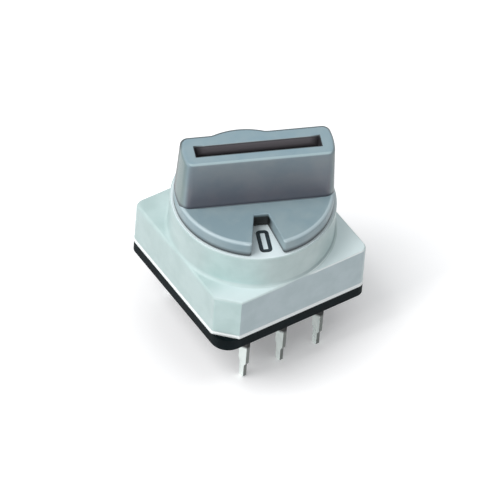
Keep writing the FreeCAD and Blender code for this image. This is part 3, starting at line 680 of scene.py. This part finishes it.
def housing_plastic():
    """Pale grey, with light and shade painted into the colour. Painted shade makes the front wall darker and
    bluer and the left side darker; painted light makes the cut corner lighter and, paler yet, the flat top
    towards the front and the right, the collar's end face, the lower edge and the front wall's upper edge.
    A painted shadow lies in the corner at the collar's foot."""
    def painted_light_and_shade(paint, colour):
        where = paint.place()
        across, along, height = (paint.part_of(where, axis) for axis in "XYZ")
        away = paint.distance_from_axis()
        upward = paint.facing(UP, 0.90, 0.98)
        on_top = paint.maths("LESS_THAN", height, (TOP_Z + 0.06) * MM)

        # Painted shade: the front wall darker and bluer.
        front_wall = paint.all_of(paint.facing(FRONT, 0.80, 0.98),
                                  paint.span(away, COLLAR_RADIUS + 0.02, COLLAR_RADIUS + 0.12))
        colour = paint.filtered(colour, front_wall, (0.92, 0.91, 0.965))
        # Painted shade: the left side darker towards the back.
        left_side = paint.all_of(paint.span(across, -3.0, -4.2), paint.span(along, -3.9, -3.3))
        colour = paint.filtered(colour, left_side, (0.91, 0.94, 0.935))
        # Painted light: the cut corner lighter.
        cut_corner = paint.facing((-0.707, -0.707, 0), 0.90, 0.98)
        colour = paint.filtered(colour, cut_corner, (1.03, 1.09, 1.08))
        # Painted light: the flat top paler towards the front.
        top_front = paint.all_of(paint.span(along, -2.5, -4.2, 0, 0.7), upward, on_top)
        colour = paint.covered(colour, top_front, (0.80, 0.91, 0.92))
        # Painted light: the flat top paler towards the right, where the knob's shadow falls.
        top_right = paint.all_of(paint.span(across, -0.5, 4.0, 0, 0.95), upward, on_top)
        colour = paint.covered(colour, top_right, (0.87, 0.99, 1.0))
        # Painted light: the collar's end face paler.
        end_face = paint.all_of(upward, paint.maths("GREATER_THAN", height, (RIM_Z - 0.05) * MM))
        colour = paint.covered(colour, end_face, (0.84, 0.95, 0.97))
        # Painted highlight along the lower edge.
        lower_edge = paint.span(height, HOUSING_Z + 0.26, HOUSING_Z + 0.19)
        colour = paint.covered(colour, lower_edge, (0.95, 0.99, 0.99))
        # Painted highlight along the front wall's upper edge.
        upper_edge = paint.all_of(paint.facing((0, -0.78, 0.62), 0.86, 0.96), on_top,
                                  paint.span(height, TOP_Z - 0.16, TOP_Z - 0.12),
                                  paint.span(across, 0.6, 1.3, 0.25, 1))
        colour = paint.covered(colour, upper_edge, (0.93, 1.0, 1.0))
        # Painted shadow in the corner at the collar's foot.
        foot_corner = paint.all_of(paint.span(away, COLLAR_RADIUS + 0.10, COLLAR_RADIUS + 0.05),
                                   paint.span(height, TOP_Z + 0.28, TOP_Z + 0.18),
                                   paint.span(height, TOP_Z - 0.03, TOP_Z + 0.02),
                                   paint.span(across, -2.0, 1.5, 0, 0.6))
        return paint.covered(colour, foot_corner, (0.30, 0.38, 0.40))

    shades = (0.545, 0.670, 0.662), (0.600, 0.722, 0.716)
    return moulded_plastic("pale_housing_plastic", shades, 1.1, 0.06, 0.42, tint=painted_light_and_shade)


def flange_plastic():
    """The knob's grey, with a painted highlight that makes the flange's rounded rim paler, and painted
    shade, nearly black, in the gap under it and at the inner end of the notch."""
    def painted_light_and_shade(paint, colour):
        away = paint.distance_from_axis()
        height = paint.part_of(paint.place(), "Z")
        # Painted highlight on the flange's rounded rim.
        rim = paint.all_of(paint.span(away, FLANGE_RADIUS - 0.24, FLANGE_RADIUS - 0.17, 0, 0.6),
                           paint.span(height, FLANGE_TOP - 0.14, FLANGE_TOP - 0.05))
        colour = paint.covered(colour, rim, (0.62, 0.74, 0.78))
        # Painted shade, nearly black, in the gap under the flange.
        gap = paint.span(height, FLANGE_Z + 0.36, FLANGE_Z + 0.11, 0, 0.93)
        colour = paint.covered(colour, gap, (0.03, 0.04, 0.045))
        # Painted shade, nearly black, at the notch's inner end.
        notch = paint.all_of(paint.span(away, NOTCH_START + 0.8, NOTCH_START + 0.3),
                             paint.span(height, FLANGE_TOP - 0.06, FLANGE_TOP - 0.25))
        return paint.covered(colour, notch, (0.008, 0.010, 0.010))

    shades = (0.265, 0.368, 0.412), (0.315, 0.412, 0.442)
    return moulded_plastic("grey_flange_plastic", shades, 1.6, 0.05, 0.40, tint=painted_light_and_shade)


def fin_plastic():
    """The knob's grey on the fin, with light and shade painted into the colour. Painted shade makes the
    front duller towards its foot and the ends darker, and painted light makes the top lighter, with a
    painted highlight on the edge between front and top and a painted dark line of shade where the fin turns
    to its back. A painted shadow lies at the foot. Painted shade makes the slot dark at its lip, then brown,
    and black deep down and at its ends."""
    def painted_fin_light_and_shade(paint, colour):
        right = np.array([math.cos(KNOB_TURN), math.sin(KNOB_TURN), 0.0])
        back = np.array([-math.sin(KNOB_TURN), math.cos(KNOB_TURN), 0.0])
        where = paint.place(turn=-KNOB_TURN)
        height = paint.part_of(where, "Z")

        # Painted shade: the front darker, more so towards its foot.
        front = paint.all_of(paint.facing(back, -0.75, -0.95),
                             paint.span(height, FIN_TOP - 0.2, FLANGE_TOP + 0.6, 0.45, 1))
        colour = paint.filtered(colour, front, (0.46, 0.36, 0.40))
        # Painted shade: both ends darker.
        colour = paint.filtered(colour, paint.facing(-right, 0.60, 0.90), (0.66, 0.70, 0.64))
        colour = paint.filtered(colour, paint.facing(right, 0.35, 0.80), (0.60, 0.60, 0.56))
        # Painted light: the top lighter.
        colour = paint.filtered(colour, paint.facing(UP, 0.85, 0.98), (1.04, 1.10, 1.13))
        # Painted highlight on the edge between front and top.
        front_edge = paint.facing(0.785 * np.array(UP) - 0.62 * back, 0.90, 0.97, 0, 0.7)
        colour = paint.covered(colour, front_edge, (0.46, 0.60, 0.63))
        # Painted shade: a dark line where the fin turns to its back.
        back_edge = paint.all_of(paint.facing(back, 0.02, 0.11, 0, 0.95),
                                 paint.facing(back, 0.35, 0.60, 1, 0))
        colour = paint.covered(colour, back_edge, (0.045, 0.060, 0.062))
        # Painted shadow at the fin's foot.
        foot = paint.span(height, FLANGE_TOP + 0.22, FLANGE_TOP + 0.03, 0, 0.75)
        colour = paint.covered(colour, foot, (0.03, 0.035, 0.05))

        # Painted shade in the slot: dark at the lip, brown on the walls, black deep down and at its ends.
        along = paint.maths("ABSOLUTE", paint.part_of(where, "X"))
        across = paint.maths("ABSOLUTE", paint.maths("ADD", paint.part_of(where, "Y"), SLOT_FORWARD * MM))
        in_slot = paint.all_of(paint.maths("LESS_THAN", along, (SLOT_HALF_LONG + 0.06) * MM),
                               paint.maths("LESS_THAN", across, (SLOT_HALF_WIDE + 0.085) * MM))
        lip = paint.all_of(in_slot, paint.span(height, FIN_TOP - 0.002, FIN_TOP - 0.03))
        colour = paint.covered(colour, lip, (0.11, 0.11, 0.12))
        walls = paint.all_of(in_slot, paint.span(height, FIN_TOP - 0.07, FIN_TOP - 0.12))
        colour = paint.covered(colour, walls, (0.27, 0.25, 0.27))
        deep = paint.maths("MAXIMUM", paint.span(height, FIN_TOP - 0.48, FIN_TOP - 0.85),
                           paint.span(along, 3.1, 3.6, 0, 0.85))
        return paint.covered(colour, paint.all_of(in_slot, deep), (0.006, 0.007, 0.009))

    shades = (0.246, 0.340, 0.382), (0.294, 0.376, 0.404)
    return moulded_plastic("grey_fin_plastic", shades, 1.6, 0.05, 0.40, tint=painted_fin_light_and_shade)


def base_plastic():
    shades = (0.001, 0.004, 0.005), (0.003, 0.008, 0.010)
    return moulded_plastic("black_base_plastic", shades, 0.7, 0.05, 0.60, specular=0.06)


def rotor_plastic():
    shades = (0.70, 0.69, 0.65), (0.78, 0.77, 0.73)
    return moulded_plastic("white_rotor_plastic", shades, 1.0, 0.05, 0.45)


def washer_nylon():
    shades = (0.78, 0.78, 0.73), (0.85, 0.85, 0.81)
    return moulded_plastic("washer_nylon", shades, 0.8, 0.04, 0.38)


def seal_rubber():
    shades = (0.020, 0.020, 0.021), (0.034, 0.034, 0.035)
    return moulded_plastic("seal_rubber", shades, 0.5, 0.03, 0.62, grain_depth=0.004, specular=0.3)


def print_ink():
    shades = (0.012, 0.022, 0.028), (0.030, 0.048, 0.056)
    return moulded_plastic("mark_ink", shades, 0.3, 0.03, 0.50, grain_depth=0.003)


def cured_resin():
    """Poured sealing resin: smooth and glossy, with a wavy skin and small pits."""
    material, paint, surface = new_material("cured_resin")
    where = paint.place()
    waves = paint.noise(where, 0.9, 1.0)
    pits = paint.noise(where, 0.09, 1.0)
    paint.feed(surface, {
        "Base Color": paint.two_shades(waves, (0.012, 0.013, 0.014), (0.04, 0.038, 0.036)),
        "Roughness": paint.between(pits, 0.3, 0.8, 0.12, 0.4),
        "Normal": paint.bumps(waves, 0.05, 0.5),
    })
    return material


def plated_metal(name, shades, stretch, grain, rough):
    """Plated sheet: fine drawn lines along one way, and dull blotches that the shade follows."""
    material, paint, surface = new_material(name)
    blotch = paint.noise(paint.place(), 0.5, 3.0)
    lines = paint.noise(paint.place(stretch), grain, 2.0)
    paint.feed(surface, {
        "Base Color": paint.two_shades(blotch, *shades),
        "Metallic": 1.0,
        "Roughness": paint.between(blotch, 0.3, 0.7, rough - 0.06, rough + 0.1),
        "Normal": paint.bumps(lines, 0.004, 0.4),
    })
    return material


def gold_plate():
    shades = (0.74, 0.52, 0.20), (0.86, 0.64, 0.28)
    return plated_metal("gold_plate", shades, (1, 0.1, 1), 0.03, 0.24)


def spring_steel():
    shades = (0.50, 0.50, 0.51), (0.63, 0.63, 0.64)
    return plated_metal("spring_steel", shades, (1, 1, 6), 0.05, 0.28)


def tin_plate():
    """Dipped tin: smooth bright faces, painted shade that makes the faces turned along Y nearly black, and
    black that isn't metallic down the legs' roots, which reaches further down on the side towards the
    middle."""
    material, paint, surface = new_material("tin_plate")
    where = paint.place()
    cloud = paint.noise(where, 0.9, 2.0)
    # Painted shade: the faces turned along Y nearly black.
    shaded_sides = paint.between(paint.maths("ABSOLUTE", paint.dot_product(FRONT)), 0.5, 0.8, 0, 0.85)
    height = paint.part_of(where, "Z")
    # Black that isn't metallic down the legs' roots, further down on the side towards the middle.
    deeper = paint.span(paint.maths("ABSOLUTE", paint.part_of(where, "Y")), 4.19, 3.43, 0, 0.5 * MM)
    root = paint.all_of(paint.span(paint.maths("ADD", height, deeper), -1.36, -1.18),
                        paint.span(height, 0.3, 0.2))
    colour = paint.two_shades(cloud, (0.78, 0.86, 0.83), (0.88, 0.95, 0.92))
    colour = paint.covered(colour, shaded_sides, (0.045, 0.050, 0.046))
    paint.feed(surface, {
        "Base Color": paint.covered(colour, root, (0.008, 0.010, 0.010)),
        "Metallic": paint.between(root, 0, 1, 0.7, 0.0),
        "Roughness": paint.between(cloud, 0.3, 0.7, 0.26, 0.36),
        "Normal": paint.bumps(cloud, 0.01, 0.2),
        "Specular IOR Level": 0.15,
    })
    return material


def floor_material():
    """Where the camera or a reflection sees it, the floor is matt white and glows a little, more so away
    from the object, so that only the shadow near it is left. The light that it throws on the object is
    that of pale paper."""
    material, paint, paper = new_material("studio_floor")
    paint.feed(paper, {"Base Color": (0.64, 0.64, 0.64, 1), "Roughness": 0.9, "Specular IOR Level": 0.0})
    seen = paint.node("ShaderNodeBsdfDiffuse", {"Color": (0.97, 0.965, 0.97, 1)})
    ray = paint.nodes.new("ShaderNodeLightPath")
    outward = paint.span(paint.distance_from_axis(), 5.0, 9.5, 0.18, 0.37)
    frontward = paint.span(paint.part_of(paint.place(), "Y"), -2.8, -4.6, -0.06, 0.06)
    reflected = paint.between(ray.outputs["Is Glossy Ray"], 0, 1, 0, 0.20)
    strength = paint.maths("ADD", outward, paint.maths("ADD", frontward, reflected))
    glow = paint.node("ShaderNodeEmission", {"Color": (1, 1, 1, 1), "Strength": strength})
    both = paint.node("ShaderNodeAddShader", {0: seen.outputs[0], 1: glow.outputs[0]})
    shaders = {"Fac": paint.sharp_ray(ray), 1: paper.outputs[0], 2: both.outputs[0]}
    choice = paint.node("ShaderNodeMixShader", shaders)
    paint.feed(paint.nodes["Material Output"], {"Surface": choice.outputs[0]})
    return material


def make_floor():
    """A wide square at the pins' tips."""
    half, level = 400.0, cad_box[0][2] / MM
    corners = np.array([(-half, -half), (half, -half), (half, half), (-half, half)])
    floor = mesh_piece("studio_floor", ring(corners, level), [[0, 1, 2, 3]])
    floor.data.materials.append(floor_material())


def make_world(level):
    """Even sky of that level for diffuse light, and white where the camera or a reflection sees it."""
    world = bpy.data.worlds.new("studio_sky")
    bpy.context.scene.world = world
    world.use_nodes = True
    paint = Shader(world.node_tree)
    ray = paint.nodes.new("ShaderNodeLightPath")
    clear = paint.maths("MAXIMUM", paint.sharp_ray(ray), ray.outputs["Is Transmission Ray"])
    strength = paint.between(clear, 0, 1, level, 1.0)
    paint.feed(paint.nodes["Background"], {"Color": (0.96, 0.98, 1.0, 1), "Strength": strength})


def softbox(name, toward, distance, size, level):
    """A square lamp aimed at the object, whose light on a face turned to it is level times the light at
    which a colour renders as written: energy = level pi^2 distance^2."""
    lamp = bpy.data.lights.new(name, "AREA")
    lamp.size = size * MM
    lamp.energy = level * math.pi ** 2 * (distance * MM) ** 2
    holder = bpy.data.objects.new(name, lamp)
    way = np.array(toward, float) / np.linalg.norm(toward)
    side = np.cross(UP, way)
    side /= np.linalg.norm(side)
    place = np.eye(4)
    place[:3, 0], place[:3, 1], place[:3, 2] = side, np.cross(way, side), way
    place[:3, 3] = (way * distance + [0, 0, 3]) * MM
    holder.matrix_world = Matrix(place.tolist())
    bpy.context.scene.collection.objects.link(holder)


def make_camera():
    """The camera turned by the fitted yaw, elevation and roll, looking at the fitted target."""
    right = np.array([math.cos(VIEW_YAW), math.sin(VIEW_YAW), 0])
    back = np.array([math.sin(VIEW_YAW) * math.cos(VIEW_ELEVATION),
                     -math.cos(VIEW_YAW) * math.cos(VIEW_ELEVATION), math.sin(VIEW_ELEVATION)])
    up = np.cross(back, right)
    c, s = math.cos(VIEW_ROLL), math.sin(VIEW_ROLL)
    place = np.eye(4)
    place[:3, 0], place[:3, 1], place[:3, 2] = c * right - s * up, s * right + c * up, back
    across, along, height = VIEW_TARGET
    place[:3, 3] = (back * VIEW_DISTANCE + right * across + up * along + [0, 0, height]) * MM
    camera = bpy.data.cameras.new("camera")
    camera.lens, camera.sensor_width = VIEW_LENS, VIEW_SENSOR
    camera.clip_start, camera.clip_end = 0.01, 5.0
    holder = bpy.data.objects.new("camera", camera)
    holder.matrix_world = Matrix(place.tolist())
    bpy.context.scene.collection.objects.link(holder)
    bpy.context.scene.camera = holder


def dress(piece, material, body):
    """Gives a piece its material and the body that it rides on."""
    piece.data.materials.append(material)
    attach(piece, body)


def finish_nodes():
    """Every CAD node gets the finish of its material slot."""
    finishes = {
        "base_black": base_plastic(),
        "seal_resin": cured_resin(),
        "tinned_brass": tin_plate(),
        "gilt_contact": gold_plate(),
        "rotor_white": rotor_plastic(),
        "spring_steel": spring_steel(),
        "washer_nylon": washer_nylon(),
        "seal_rubber": seal_rubber(),
        "housing_grey": housing,
        "knob_grey": flange,
    }
    for part in frame["record"]["subparts"]:
        node = frame["nodes"][part["node"]]
        if not node.material_slots:
            node.data.materials.append(None)
        for place in node.material_slots:
            place.material = finishes[part["material_slot"]]


bpy.context.scene.view_settings.view_transform = "Standard"
housing, flange, fin = housing_plastic(), flange_plastic(), fin_plastic()
finish_nodes()

housing_shell = make_housing()
dress(housing_shell, housing, "switch_body")
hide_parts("housing")
for piece, plastic in ((make_knob_disc(), flange), (make_knob_fin(), fin)):
    dress(piece, plastic, "knob")
    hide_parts("knob")
ink = print_ink()
for place, sign in enumerate("0123456789ABCDEF"):
    dress(make_mark(place, sign), ink, "switch_body")

make_floor()
make_world(level=0.465)
softbox("key_softbox", toward=(-0.56, 0.13, 0.82), distance=320, size=190, level=0.60)
softbox("left_softbox", toward=(-0.80, -0.36, 0.42), distance=320, size=200, level=0.12)
make_camera()
